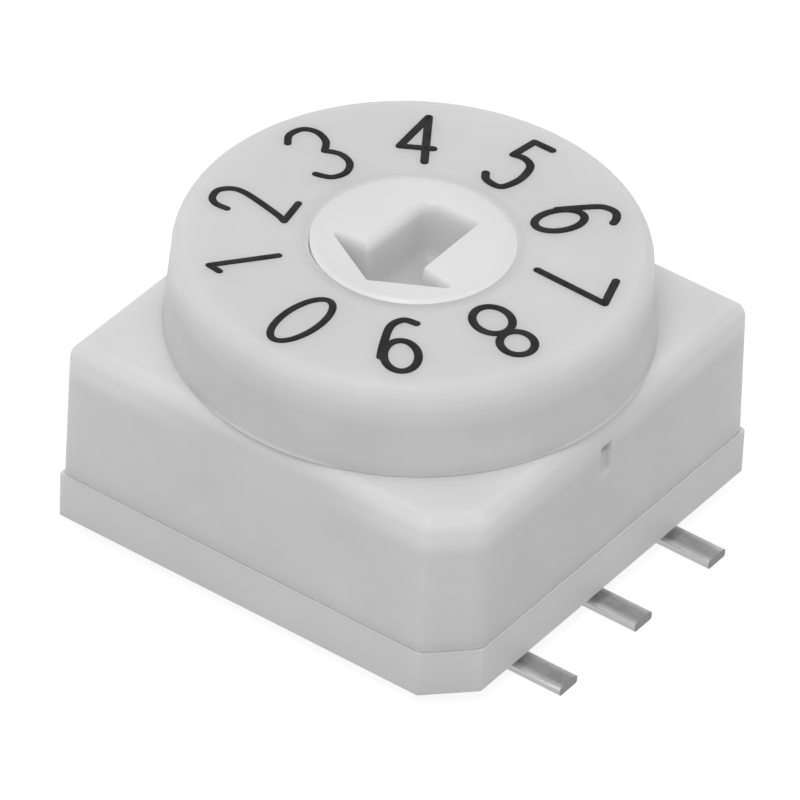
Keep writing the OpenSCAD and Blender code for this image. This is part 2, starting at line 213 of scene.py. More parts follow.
NOTCH_HALF_W, NOTCH_DRAFT = 0.19, 0.05
NOTCH_FADE = (3.26, 3.40)  # heights between which the notch's bottom fades out
NOTCH_TOP, NOTCH_LIP = 4.06, 0.04
NOTCH_D, NOTCH_MORE_D, NOTCH_STEP = 0.09, 0.13, (3.78, 3.84)

# Points of the notched side: along it from its middle, and up it
SIDE_Y = (0.06, 0.14, 0.165, 0.18, 0.193, 0.22, 0.40, 0.8, 1.6, 2.4, 3.2)
NOTCH_Z = (3.1, 3.25, 3.28, 3.32, 3.36, 3.40, 3.44, 3.47, 3.6, 3.76, 3.79, 3.81, 3.84, 3.99, 4.02,
           4.035, 4.05, 4.065, 4.09)


def notch_depth(y, z):
    """Depth of the index notch in the cover's +X side: deeper at its top, nothing outside it."""
    across = ease(NOTCH_HALF_W - abs(y), 0, NOTCH_DRAFT)
    along = ease(z, *NOTCH_FADE) * ease(NOTCH_TOP - z, 0, NOTCH_LIP)
    return across * along * (NOTCH_D + NOTCH_MORE_D * ease(z, *NOTCH_STEP))


def square_ring(half, corner_r, front_r, inset, z, least=0.03):
    """A square with its +X -Y corner cut off, moved in by inset; all its rings have equally many points."""
    cut = CORNER_CUT - (BASE_HALF - half + inset) * MITRE
    half -= inset
    f, r = max(front_r - inset, least), max(corner_r - inset, least)
    t = f * tan(radians(22.5))
    corners = [(half - cut - t, f - half, f), (half - f, cut + t - half, f), (half - r, half - r, r),
               (r - half, half - r, r), (r - half, r - half, r)]
    turns = [-90, -45, 0, 90, 180, 270]

    def on_arc(corner, angle):
        x, y, radius = corner
        return x + radius * cos(radians(angle)), y + radius * sin(radians(angle))

    points = []
    for i, corner in enumerate(corners):
        points += [on_arc(corner, turns[i] + (turns[i + 1] - turns[i]) * k / 8) for k in range(9)]
        (x0, y0), (x1, y1) = points[-1], on_arc(corners[(i + 1) % 5], turns[i + 1])
        if i == 1:
            along = [-y for y in reversed(SIDE_Y)] + [0] + list(SIDE_Y)
            points += [(x1 - notch_depth(y, z), y) for y in along]
        elif i > 1:
            points += [(x0 + (x1 - x0) * k / 10, y0 + (y1 - y0) * k / 10) for k in range(1, 10)]
    return [(x, y, z) for x, y in points]


def stake_pins(shell):
    """The cover's four pins, whose ends are melted into flat round heads under the base."""
    top, dimple = 2.10, 0.035
    profile = ((0.30, 0.025), (0.40, 0.02), (0.47, 0.025), (0.52, 0.05), (0.54, 0.10), (0.54, 0.25),
               (0.53, 0.275), (0.50, 0.28), (0.34, 0.28), (0.34, 1.2), (0.34, top))
    for x in (-STAKE_XY, STAKE_XY):
        for y in (-STAKE_XY, STAKE_XY):
            rings = [shell.ring(circle(r, BASE_Z + h, 40, (x, y))) for r, h in profile]
            shell.cap(rings[0], (x, y, BASE_Z + dimple))
            shell.skin(*rings)
            shell.cap(rings[-1], (x, y, BASE_Z + top))


def spring_keys(shell):
    """Two keys under the roof that hold the detent spring."""
    half_w, near, far, height, root = 0.18, 3.445, 4.06, 0.12, 0.02
    for side in (-1, 1):
        low, high = sorted((side * near, side * far))
        shell.block((-half_w, low, ROOF_Z - height), (half_w, high, ROOF_Z + root))


def build_cover():
    """The cover: drafted sides with a rounded top edge and an index notch, bore, cavity, pins and keys."""
    shell = Shell()
    corner_r, front_r, edge_r, edge_h = 0.2, 0.34, 0.32, 0.38
    foot, foot_h, upright = 0.004, 0.006, 0.1
    mouth, mouth_rim, inner_half = 0.04, 0.07, COVER_HALF - COVER_WALL

    def side(z, inset=0.0):
        lean = (z - PART_Z - upright) / (COVER_Z - edge_h - PART_Z - upright)
        half = COVER_HALF - COVER_DRAFT * min(1, max(0, lean))
        return shell.ring(square_ring(half, corner_r, front_r, inset, z))

    rings = [side(PART_Z, foot), side(PART_Z + foot_h)]
    rings += [side(z) for z in (1.5, 1.65, 2.0, 2.4, 2.8) + NOTCH_Z]
    rings += [side(COVER_Z - edge_h + edge_h * s, edge_r * c) for s, c in quarter(12)]
    rings.append(side(COVER_Z, edge_r + 0.05))
    shell.skin(*rings)
    bore = shell.circles([(BORE_R + mouth_rim, COVER_Z), (BORE_R + mouth, COVER_Z),
                          (BORE_R, COVER_Z - mouth), (BORE_R, SEAT_Z), (SEAT_R, SEAT_Z), (SEAT_R, ROOF_Z)])
    shell.fill(rings[-1], bore[0])
    shell.skin(*bore)
    cavity = shell.circles([(CAVITY_R, ROOF_Z), (CAVITY_R, SKIRT_Z)])
    shell.skin(bore[-1], *cavity)
    hollow = [shell.ring(square_ring(inner_half, corner_r, corner_r, 0, z)) for z in (SKIRT_Z, PART_Z)]
    shell.fill(cavity[-1], hollow[0])
    shell.skin(*hollow)
    shell.fill(hollow[-1], rings[0])
    stake_pins(shell)
    spring_keys(shell)
    return shell.piece("switch_cover")


# Turned forms: a profile is a list of functions of the angle that give (radius, height)

FULL_TURN = [radians(1.5 * k) for k in range(240)]


def turned(shell, angles, profile):
    """One ring for each point of the profile."""
    rings = []
    for point in profile:
        sizes = [point(a) for a in angles]
        rings.append(shell.ring([(r * cos(a), r * sin(a), z) for a, (r, z) in zip(angles, sizes)]))
    return rings


def fixed(*sizes):
    """Points that are the same all round."""
    return [lambda a, size=size: size for size in sizes]


def flatted(r, flat, z):
    """A point of a round with two flats at that distance from the axis."""
    return lambda a: (min(r, flat / max(1e-6, abs(cos(a)))), z)


# Thumb wheel

def build_wheel():
    """The thumb wheel: a shallow dish round its bore, a ribbed pocket underneath and flats for the boss."""
    shell = Shell()
    ribs = [radians(90 + 72 * k) for k in range(5)]
    rib_half, rib_z, lip, nick = radians(3.75), 0.03, radians(0.25), radians(231)
    marks = [m + s * (rib_half + d) for m in ribs for s in (-1, 1) for d in (-lip, lip)]
    angles = [a for a in FULL_TURN if all(abs(apart(a, m)) > radians(0.4) for m in marks)]
    angles = sorted(angles + [m % (2 * pi) for m in marks])
    mouth_r, edge_r, edge_h, foot = HEAD_R + 0.001, 0.28, 0.36, 0.01
    top, low, step, soft = DIAL_TOP - edge_h, DIAL_Z - WHEEL_DROP, 0.02, 0.05
    dish_floor = 0.08  # width of the flat ring between the mouth and the dish's slope

    def mouth(worn, z):
        """A point of the bore's mouth, close round the boss but for a nick on the left."""
        return lambda a: (mouth_r + worn * max(0, cos(min(abs(apart(a, nick)) * 5, pi / 2))), z)

    def pocket(r):
        """A point of the pocket's roof, which comes down over the ribs."""
        return lambda a: (r, DIAL_Z + (rib_z if min(abs(apart(a, m)) for m in ribs) < rib_half else POCKET_D))

    profile = fixed((BORE_R, FLAT_Z1 - step), (BORE_R, DIAL_TOP - 0.45), (mouth_r, DIAL_TOP - 0.4),
                    (mouth_r, DISH_Z - 0.09))
    profile += [mouth(0.03, DISH_Z - 0.07), mouth(0.045, DISH_Z)]
    for k in range(9):
        r = HEAD_R + dish_floor + (DISH_R - HEAD_R - dish_floor) * k / 8
        profile += fixed((r, DISH_Z + (DIAL_TOP - DISH_Z) * ease(k, 0, 8)))
    profile += fixed((3.4, DIAL_TOP), (WHEEL_TOP_R - edge_r - 0.08, DIAL_TOP))
    for s, c in quarter(12):
        profile += fixed((WHEEL_TOP_R - edge_r + edge_r * s, DIAL_TOP - edge_h * c))
    for z in (top - 0.05, 6.1, 5.6, 5.2, low + foot + 0.05):
        share = (top - z) / (top - low - foot)
        profile += fixed((WHEEL_TOP_R + (WHEEL_R - WHEEL_TOP_R) * share, z))
    for s, c in quarter(4):
        profile += fixed((WHEEL_R - foot * c, low + foot - foot * s))
    profile += fixed((WHEEL_R - foot - soft, low), (4.4, low), (4.36, DIAL_Z), (POCKET_R1 + soft, DIAL_Z),
                     (POCKET_R1, DIAL_Z + step))
    profile += [pocket(POCKET_R1), pocket(POCKET_R0)]
    profile += fixed((POCKET_R0, DIAL_Z + step), (POCKET_R0 - soft, DIAL_Z), (BORE_R + soft, DIAL_Z),
                     (BORE_R, DIAL_Z + soft), (BORE_R, FLAT_Z0 + step))
    profile += [flatted(BORE_R, FLAT_X + FLAT_GAP, z) for z in (FLAT_Z0 + 2 * step, FLAT_Z1 - 2 * step)]
    rings = turned(shell, angles, profile)
    shell.skin(*rings, rings[0])
    return shell.piece("thumb_wheel")


# Selector boss

ARROW = [(0.09, -1.63), (1.51, -0.82), (0.70, -0.67), (0.69, 1.18), (-0.52, 1.18), (-0.55, -0.73),
         (-1.38, -0.82)]
ARROW_CORNERS = [0.05, 0.04, 0.06, 0.06, 0.33, 0.10, 0.05]
ARROW_RIMS = [0.04, 0.11, 0.04, 0.12, 0.27, 0.14, 0.04]  # width of the soft edge along each side
HOLLOW_R, HOLLOW_D = 0.9, 0.28
STEP_ANGLE = 36


def closed(digit, bit):
    """Whether a bit's contact is closed at a digit."""
    return (digit % 10) // bit % 2 == 1


def code_windows():
    """Radius, first angle and sweep in degrees of each window of the code plate."""
    found = []
    for bit, track in TRACKS.items():
        for digit in range(10):
            if not closed(digit, bit) and closed(digit - 1, bit):
                run = 0
                while not closed(digit + run, bit):
                    run += 1
                lead = 0 if SIDES[bit][0] > 0 else 180
                found.append((track, lead - STEP_ANGLE * (digit + run - 0.5), STEP_ANGLE * run))
    return found


def crown(r, lower):
    """A point of the flange's top, with ten round hollows for the spring's noses."""
    def point(a):
        z = CROWN_Z
        for k in range(10):
            turn = a - radians(STEP_ANGLE * k)
            t = r * sin(turn)
            if abs(t) < HOLLOW_R and cos(turn) > 0:
                z = min(z, CROWN_Z - HOLLOW_D + HOLLOW_R - sqrt(HOLLOW_R ** 2 - t * t))
        return r, z - lower
    return point


def arrow_slot(shell, rim_ring):
    """The driver's slot, from the ring at the boss's rim down: soft edges, drafted walls, rounded floor."""
    floor, floor_r, floor_in = BOSS_TOP - SLOT_D, 0.30, 0.05
    rim_h, rim_end, draft = 0.28, 0.34, 0.02
    walls = []

    def slot_ring(rim_share, z, inset=0.0):
        insets = [inset - rim * rim_share for rim in ARROW_RIMS]
        walls.append(shell.ring([(x, y, z) for x, y in moved_in(ARROW, ARROW_CORNERS, insets)]))

    slot_ring(1.15, BOSS_TOP)
    for s, c in quarter(7):
        slot_ring(1 - s, BOSS_TOP - rim_h * c)
    slot_ring(0, BOSS_TOP - rim_end)
    slot_ring(0, (BOSS_TOP + floor) / 2, draft / 2)
    slot_ring(0, floor + floor_r, draft)
    for s, c in quarter(4)[1:]:
        slot_ring(0, floor + floor_r * (1 - s), draft + floor_r * c)
    slot_ring(0, floor, floor_in + floor_r)
    shell.fill(rim_ring, walls[0])
    shell.skin(*walls)
    shell.fill(walls[-1])


def window_lugs(shell):
    """Lugs of rotor plastic that fill the code plate's windows."""
    half_w, gap, root = 0.185, 0.03, 0.05
    for r, start, sweep in code_windows():
        trim = degrees(gap / r)
        a0, a1, r0, r1 = start + trim, start + sweep - trim, r - half_w, r + half_w
        steps = max(2, int((a1 - a0) / 4))
        arc = [radians(a0 + (a1 - a0) * k / steps) for k in range(steps + 1)]
        plan = [(r1 * cos(a), r1 * sin(a)) for a in arc] + [(r0 * cos(a), r0 * sin(a)) for a in reversed(arc)]
        lug = [shell.ring([(x, y, z) for x, y in plan]) for z in (PLATE_Z, FLANGE_Z + root)]
        shell.skin(*lug)
        for ring in lug:
            shell.fill(ring)


def build_boss():
    """The rotor in one moulding: boss with slot and flats, neck, shoulder, detent crown and lugs."""
    shell = Shell()
    rim, step, flange_edge, pivot_r, pivot_edge = 0.11, 0.01, 0.08, 0.51, 0.02
    profile = fixed((HEAD_R - rim - 0.03, BOSS_TOP))
    for k in range(13):
        profile += fixed((HEAD_R - rim + rim * k / 12, BOSS_TOP - (BOSS_TOP - DISH_Z) * ease(k, 0, 12)))
    profile += fixed((HEAD_R, DIAL_TOP - 0.2), (BOSS_R, DIAL_TOP - 0.23), (BOSS_R, FLAT_Z1 + step))
    profile += [flatted(BOSS_R, FLAT_X, z) for z in (FLAT_Z1 - step, FLAT_Z0 + step)]
    profile += fixed((BOSS_R, FLAT_Z0 - step), (BOSS_R, SHOULDER_Z), (SEAT_R, SHOULDER_Z), (SEAT_R, CROWN_Z),
                     (SEAT_R + 0.09, CROWN_Z))
    profile += [crown(r, 0.001) for r in (SEAT_R + 0.10, 2.9, 3.2, 3.5, FLANGE_R - 0.04)]
    profile += [crown(FLANGE_R, 0.04)]
    profile += fixed((FLANGE_R, FLANGE_Z + flange_edge), (FLANGE_R - flange_edge, FLANGE_Z),
                     (pivot_r + 2 * pivot_edge, FLANGE_Z), (pivot_r, FLANGE_Z + 2 * pivot_edge),
                     (pivot_r, PIVOT_Z - pivot_edge), (pivot_r - pivot_edge, PIVOT_Z))
    rings = turned(shell, FULL_TURN, profile)
    shell.skin(*rings)
    shell.cap(rings[-1], (0, 0, PIVOT_Z))
    arrow_slot(shell, rings[0])
    window_lugs(shell)
    return shell.piece("selector_boss")


# Base, as a softened copy of its CAD solid

def softened(name, source, width):
    """A copy of a CAD solid with its sharp edges broken by width."""
    bm = bmesh.new()
    bm.from_mesh(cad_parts[source].data)
    bmesh.ops.remove_doubles(bm, verts=bm.verts, dist=2e-6)
    bmesh.ops.dissolve_limit(bm, angle_limit=radians(1), verts=bm.verts, edges=bm.edges)
    mesh = mesh_of(bm, name)
    mesh.materials.clear()
    obj = placed(name, mesh)
    bevel = obj.modifiers.new("broken edges", "BEVEL")
    bevel.width = width * MM
    bevel.segments = 3
    bevel.limit_method = "ANGLE"
    bevel.angle_limit = radians(35)
    bevel.use_clamp_overlap = True
    done = applied(obj)
    obj.modifiers.clear()
    obj.data = done
    done.name = name
    smoothed(done)
    return obj


# Node helpers, for geometry and for materials

def node(tree, kind, values=None, **links):
    """A node with its settings, values and the sockets that feed it."""
    made = tree.nodes.new(kind)
    for key, value in (values or {}).items():
        if key in made.inputs:
            made.inputs[key].default_value = value
        else:
            setattr(made, key, value)
    for key, source in links.items():
        tree.links.new(source, made.inputs[key.replace("_", " ")])
    return made


def fed(tree, made, *terms):
    """A node's first output, with sockets or plain values given to its inputs in their order."""
    for socket, term in zip(made.inputs, terms):
        if isinstance(term, bpy.types.NodeSocket):
            tree.links.new(term, socket)
        else:
            socket.default_value = term
    return made.outputs[0]


def maths(tree, operation, *terms):
    """The result of an operation on numbers."""
    return fed(tree, node(tree, "ShaderNodeMath", {"operation": operation}), *terms)


def vector_maths(tree, operation, *terms):
    """The result of an operation on vectors."""
    return fed(tree, node(tree, "ShaderNodeVectorMath", {"operation": operation}), *terms)


def spread(tree, value, low, high, to_low=0.0, to_high=1.0):
    """A value's range from low to high, stretched over another."""
    sizes = {"From Min": low, "From Max": high, "To Min": to_low, "To Max": to_high}
    return node(tree, "ShaderNodeMapRange", sizes, Value=value).outputs["Result"]


# Swept metal and ink

def growing_tree(name, *sizes):
    """A geometry tree with named sizes and a material, and its first and last nodes."""
    tree = bpy.data.node_groups.new(name, "GeometryNodeTree")
    sockets = [("Geometry", "INPUT", "NodeSocketGeometry")]
    sockets += [(size, "INPUT", "NodeSocketFloat") for size in sizes]
    sockets += [("Material", "INPUT", "NodeSocketMaterial"), ("Geometry", "OUTPUT", "NodeSocketGeometry")]
    for label, way, kind in sockets:
        tree.interface.new_socket(label, in_out=way, socket_type=kind)
    return tree, tree.nodes.new("NodeGroupInput"), tree.nodes.new("NodeGroupOutput")


def finish_tree(tree, start, end, geometry):
    """Ends a tree in plain geometry with its material."""
    real = node(tree, "GeometryNodeRealizeInstances", Geometry=geometry)
    paint = node(tree, "GeometryNodeSetMaterial", Geometry=real.outputs["Geometry"],
                 Material=start.outputs["Material"])
    tree.links.new(paint.outputs["Geometry"], end.inputs["Geometry"])
    return tree


def strip_tree():
    """Sheet-metal strip along a path: rounded rectangle, bent about a given radius."""
    tree, start, end = growing_tree("bent strip", "Width", "Thickness", "Bend radius", "Edge radius",
                                    "Edge stretch")
    path = node(tree, "GeometryNodeMeshToCurve", Mesh=start.outputs["Geometry"])
    bent = node(tree, "GeometryNodeFilletCurve", {"mode": "POLY", "Count": 10, "Limit Radius": True},
                Curve=path.outputs["Curve"], Radius=start.outputs["Bend radius"])
    upright = node(tree, "GeometryNodeSetCurveNormal", {"mode": "FREE", "Normal": (0, 1, 0)},
                   Curve=bent.outputs["Curve"])
    narrow = maths(tree, "DIVIDE", start.outputs["Width"], start.outputs["Edge stretch"])
    section = node(tree, "GeometryNodeCurvePrimitiveQuadrilateral", Width=narrow,
                   Height=start.outputs["Thickness"])
    soft = node(tree, "GeometryNodeFilletCurve", {"mode": "POLY", "Count": 5, "Limit Radius": True},
                Curve=section.outputs["Curve"], Radius=start.outputs["Edge radius"])
    widen = node(tree, "ShaderNodeCombineXYZ", {"Y": 1, "Z": 1}, X=start.outputs["Edge stretch"])
    rounded = node(tree, "GeometryNodeTransform", Geometry=soft.outputs["Curve"], Scale=widen.outputs[0])
    sweep = node(tree, "GeometryNodeCurveToMesh", {"Fill Caps": True},
                 Curve=upright.outputs["Curve"], Profile_Curve=rounded.outputs["Geometry"])
    return finish_tree(tree, start, end, sweep.outputs["Mesh"])


def ink_tree():
    """Flat rounded strokes of ink along lines, with round ends."""
    tree, start, end = growing_tree("ink strokes", "Stroke width", "Ink height", "Surface")
    half = maths(tree, "MULTIPLY", start.outputs["Stroke width"], 0.5)
    path = node(tree, "GeometryNodeMeshToCurve", Mesh=start.outputs["Geometry"])
    section = node(tree, "GeometryNodeCurvePrimitiveCircle", {"Resolution": 14}, Radius=half)
    sweep = node(tree, "GeometryNodeCurveToMesh", {"Fill Caps": True},
                 Curve=path.outputs["Curve"], Profile_Curve=section.outputs["Curve"])
    blob = node(tree, "GeometryNodeMeshUVSphere", {"Segments": 16, "Rings": 8}, Radius=half)
    dots = node(tree, "GeometryNodeInstanceOnPoints", Points=start.outputs["Geometry"],
                Instance=blob.outputs["Mesh"])
    real = node(tree, "GeometryNodeRealizeInstances", Geometry=dots.outputs["Instances"])
    both = node(tree, "GeometryNodeJoinGeometry")
    tree.links.new(real.outputs["Geometry"], both.inputs["Geometry"])
    tree.links.new(sweep.outputs["Mesh"], both.inputs["Geometry"])
    squash = maths(tree, "DIVIDE", start.outputs["Ink height"], half)
    scale = node(tree, "ShaderNodeCombineXYZ", {"X": 1, "Y": 1}, Z=squash)
    lift = node(tree, "ShaderNodeCombineXYZ", Z=start.outputs["Surface"])
    flat = node(tree, "GeometryNodeTransform", Geometry=both.outputs["Geometry"], Scale=scale.outputs[0],
                Translation=lift.outputs[0])
    return finish_tree(tree, start, end, flat.outputs["Geometry"])


def grown(name, lines, tree, values, sharp=40):
    """The plain mesh that a tree grows along lines, given as (points, closed) in millimetres."""
    mesh = bpy.data.meshes.new(name + "_path")
    verts, edges = [], []
    for points, is_closed in lines:
        first = len(verts)
        verts += [Vector(p) * MM for p in points]
        edges += [(first + i, first + i + 1) for i in range(len(points) - 1)]
        if is_closed:
            edges.append((len(verts) - 1, first))
    mesh.from_pydata(verts, edges, [])
    guide = bpy.data.objects.new(name + "_path", mesh)
    bpy.context.scene.collection.objects.link(guide)
    grow = guide.modifiers.new("grow", "NODES")
    grow.node_group = tree
    for item in tree.interface.items_tree:
        if item.in_out == "INPUT" and item.name in values:
            grow[item.identifier] = values[item.name]
    plain = applied(guide)
    guide.modifiers.remove(grow)
    bpy.data.objects.remove(guide)
    plain.name = name
    return placed(name, plain, sharp)


def merged(name, pieces, sharp=40):
    """One mesh from several pieces, shells kept apart."""
    bm = bmesh.new()
    for piece in pieces:
        bm.from_mesh(piece.data)
        bpy.data.objects.remove(piece)
    bmesh.ops.remove_doubles(bm, verts=bm.verts, dist=1e-8)
    bmesh.ops.recalc_face_normals(bm, faces=bm.faces)
    return placed(name, mesh_of(bm, name), sharp)


# Leads

def lead_path(side, row, inner):
    """Centre line of a lead from its tip, up through the base and in to its pad."""
    low, high = LEAD_T / 2, FLOOR_Z + LEAD_T / 2
    corners = ((LEAD_TIP, low), (LEG_X, low), (LEG_X, high), (inner, high))
    return [(side * x, row * LEAD_PITCH, z) for x, z in corners]


def lead_values(material):
    """The strip tree's inputs for a lead."""
    return {"Width": LEAD_W * MM, "Thickness": LEAD_T * MM, "Bend radius": LEAD_BEND * MM,
            "Edge radius": 0.055 * MM, "Edge stretch": 1.3, "Material": material}


def build_lead(tree, bit, material):
    """A lead whose pad reaches in past its track."""
    half_track, past, least_pad = 0.19, 0.05, 0.4
    side, row = SIDES[bit]
    inner = min(TRACKS[bit] - half_track - past, LEG_X - least_pad)
    return grown("lead_%d" % bit, [(lead_path(side, row, inner), False)], tree, lead_values(material))


def build_common_lead(tree, material):
    """Two opposite leads, with the ring round the pivot and the arm that carries the common contact."""
    hole_r, flat_r, rim_r, edge, root, arm_end = 0.48, 0.93, 0.95, 0.02, 0.7, 3.0
    legs = grown("common_legs", [(lead_path(s, 0, root), False) for s in (-1, 1)], tree,
                 lead_values(material))
    shell = Shell()
    z0, z1 = FLOOR_Z, FLOOR_Z + LEAD_T
    rings = shell.circles([(hole_r, z0), (hole_r, z1), (flat_r, z1), (rim_r, z1 - edge),
                           (rim_r, z0 + edge), (flat_r, z0)], 64)
    shell.skin(*rings, rings[0])
    shell.block((-LEAD_W / 2, -arm_end, z0), (LEAD_W / 2, -root, z1))
    ring = shell.piece("common_ring")
    ring.data.materials.append(material)
    return merged("common_lead", [legs, ring])


# Digits

FINE_PEN, BOLD_PEN, INK_T = 0.156, 0.174, 0.012


def stroke(*points):
    """A straight or angular line of the pen."""
    return list(points), False


def bow(*points, steps=8):
    """A smooth line of the pen through points."""
    p = [points[0], *points, points[-1]]
    line = []
    for i in range(1, len(p) - 2):
        a, b, c, d = (Vector(q) for q in p[i - 1:i + 3])
        for k in range(steps):
            t = k / steps
            square, cube = 2 * a - 5 * b + 4 * c - d, 3 * b - a - 3 * c + d
            line.append(0.5 * ((2 * b) + (c - a) * t + square * t * t + cube * t ** 3))
    return [tuple(q) for q in line] + [points[-1]], False


def loop(centre, along, across, tilt, steps=40):
    """A closed oval of the pen."""
    c, s = cos(radians(tilt)), sin(radians(tilt))
    turn = [2 * pi * k / steps for k in range(steps)]
    return [(centre[0] + along * cos(a) * c - across * sin(a) * s,
             centre[1] + along * cos(a) * s + across * sin(a) * c) for a in turn], True


FINE_LINES = [
    # Digit 0
    loop((-0.15, -3.47), 0.83, 0.37, 86),
    # Digit 1
    stroke((-1.75, -2.11), (-2.62, -3.22)),
    stroke((-2.62, -3.22), (-2.35, -3.25)),
    # Digit 2
    bow((-2.34, -1.15), (-2.65, -1.05), (-3.59, -0.9), (-3.95, -1.12), (-3.93, -1.41), (-3.75, -1.55),
        (-3.47, -1.54)),
    stroke((-2.34, -1.15), (-2.47, -0.51)),
    # Digit 3
    bow((-3.84, 0.94), (-3.98, 1.19), (-3.89, 1.5), (-3.61, 1.61), (-3.29, 1.48), (-3.12, 1.21)),
    bow((-3.12, 1.21), (-2.81, 1.32), (-2.49, 1.21), (-2.35, 0.9), (-2.48, 0.6), (-2.79, 0.48)),
]
BOLD_LINES = [
    # Digit 4
    stroke((-2.17, 3.43), (-1.35, 2.18)),
    stroke((-2.17, 3.43), (-2.05, 2.29)),
    stroke((-2.05, 2.29), (-1.47, 2.64)),
    # Digit 5
    stroke((0.41, 4.11), (-0.03, 4.11)),
    stroke((-0.03, 4.11), (-0.11, 3.5)),
    bow((-0.11, 3.5), (0.12, 3.54), (0.36, 3.43), (0.46, 3.16), (0.46, 2.81), (0.31, 2.48),
        (-0.03, 2.49), (-0.18, 2.66)),
    # Digit 6
    bow((2.76, 2.94), (2.72, 3.1), (2.59, 3.25), (2.38, 3.26), (2.16, 3.14), (1.63, 2.59)),
    loop((1.88, 2.33), 0.52, 0.32, 57),
    # Digit 7
    stroke((3.9, 1.44), (4.15, 0.71)),
    stroke((4.15, 0.71), (2.49, 0.75)),
    # Digit 8
    loop((2.75, -1.11), 0.44, 0.38, -24),
    loop((3.56, -1.39), 0.37, 0.34, -31),
    # Digit 9
    bow((1.66, -2.14), (1.4, -2.21), (1.32, -2.53), (1.55, -3.07), (1.75, -3.43)),
    loop((2.04, -3.15), 0.48, 0.34, 128),
]


def build_digits(tree, material):
    """Ten digits as a worn pen plate prints them: 0 to 3 with a finer line than the rest."""
    parts = []
    for width, group in ((FINE_PEN, FINE_LINES), (BOLD_PEN, BOLD_LINES)):
        lines = [([(x, y, 0) for x, y in points], is_closed) for points, is_closed in group]
        values = {"Stroke width": width * MM, "Ink height": INK_T * MM, "Surface": DIAL_TOP * MM,
                  "Material": material}
        parts.append(grown("digit_strokes", lines, tree, values, 60))
    return merged("dial_digits", parts, 60)


# Effects that several materials share

def group_with(name, vectors, numbers, outputs):
    """A shader node group, and its first and last nodes."""
    group = bpy.data.node_groups.new(name, "ShaderNodeTree")
    for label in vectors:
        group.interface.new_socket(label, in_out="INPUT", socket_type="NodeSocketVector")
    for label, value in numbers.items():
        socket = group.interface.new_socket(label, in_out="INPUT", socket_type="NodeSocketFloat")
        socket.default_value = value
    for label in outputs:
        group.interface.new_socket(label, in_out="OUTPUT", socket_type="NodeSocketFloat")
    return group, group.nodes.new("NodeGroupInput"), group.nodes.new("NodeGroupOutput")


def moulded_skin():
    """Surface of an injection moulding: slow cloudiness, fine spark-eroded grain and faint flow."""
    group, start, end = group_with("moulded skin", ["Vector"], {"Cloud size": 2.5, "Grain size": 0.06},
                                   ["Cloud", "Grain", "Scuff"])
    where = start.outputs["Vector"]
    cloud = node(group, "ShaderNodeTexNoise", {"Detail": 3.0, "Roughness": 0.55}, Vector=where,
                 Scale=maths(group, "DIVIDE", 1 / MM, start.outputs["Cloud size"]))
    grain = node(group, "ShaderNodeTexNoise", {"Detail": 2.0, "Roughness": 0.6}, Vector=where,
                 Scale=maths(group, "DIVIDE", 1 / MM, start.outputs["Grain size"]))
    scuff = node(group, "ShaderNodeTexNoise",
                 {"Scale": 1400.0, "Detail": 4.0, "Roughness": 0.7, "Distortion": 0.6}, Vector=where)
    for name, made in (("Cloud", cloud), ("Grain", grain), ("Scuff", scuff)):
        group.links.new(made.outputs[0], end.inputs[name])
    return group


def rolled_sheet():
    """Surface of plated strip: fine rolling marks, drawn out by Stretch, and a patchy finish."""
    group, start, end = group_with("rolled sheet", ["Vector", "Stretch"],
                                   {"Roll scale": 9000.0, "Patch scale": 3200.0}, ["Roll", "Patch"])
    lay = node(group, "ShaderNodeMapping", Vector=start.outputs["Vector"], Scale=start.outputs["Stretch"])
    roll = node(group, "ShaderNodeTexNoise", {"Detail": 3.0, "Roughness": 0.6},
                Vector=lay.outputs["Vector"], Scale=start.outputs["Roll scale"])
    patch = node(group, "ShaderNodeTexNoise", {"Detail": 4.0, "Roughness": 0.6},
                 Vector=start.outputs["Vector"], Scale=start.outputs["Patch scale"])
    group.links.new(roll.outputs[0], end.inputs["Roll"])
    group.links.new(patch.outputs[0], end.inputs["Patch"])
    return group


def recess_shade():
    """Mask that is one well inside a box and falls to nothing at its walls; it places painted light and
    painted shade on the plastics.
    """
    group, start, end = group_with("recess shade", ["Vector", "Centre", "Half size", "Soft"], {}, ["Shade"])
    away = vector_maths(group, "SUBTRACT", start.outputs["Vector"], start.outputs["Centre"])
    left = vector_maths(group, "SUBTRACT", start.outputs["Half size"], vector_maths(group, "ABSOLUTE", away))
    share = vector_maths(group, "DIVIDE", left, start.outputs["Soft"])
    parts = node(group, "ShaderNodeSeparateXYZ", Vector=share)
    x, y, z = [spread(group, part, 0, 1) for part in parts.outputs]
    shade = maths(group, "MULTIPLY", maths(group, "MULTIPLY", x, y), z)
    group.links.new(shade, end.inputs["Shade"])
    return group


def joint_ring(fade=0.14):
    """Mask that falls from one at Inner to nothing at Outer, and fades in over that height from Above; it
    places painted light round joints.
    """
    group, start, end = group_with("joint ring", ["Vector"], {"Inner": 0.0, "Outer": 0.001, "Above": 0.0},
                                   ["Shade"])
    where = start.outputs["Vector"]
    flat = vector_maths(group, "MULTIPLY", where, (1, 1, 0))
    far = node(group, "ShaderNodeVectorMath", {"operation": "LENGTH"}, Vector=flat)
    fall = node(group, "ShaderNodeMapRange",
                {"interpolation_type": "SMOOTHSTEP", "To Min": 1.0, "To Max": 0.0},
                Value=far.outputs["Value"], From_Min=start.outputs["Inner"],
                From_Max=start.outputs["Outer"])
    place = node(group, "ShaderNodeSeparateXYZ", Vector=where)
    over = maths(group, "SUBTRACT", place.outputs["Z"], start.outputs["Above"])
    shade = maths(group, "MULTIPLY", fall.outputs["Result"], spread(group, over, 0, fade * MM))
    group.links.new(shade, end.inputs["Shade"])
    return group


# Materials

FACTOR, FIRST, SECOND, MIXED = 0, 6, 7, 2  # sockets of a Mix node that is set to colours


def grey(level):
    """A colour with no tint."""
    return level, level, level


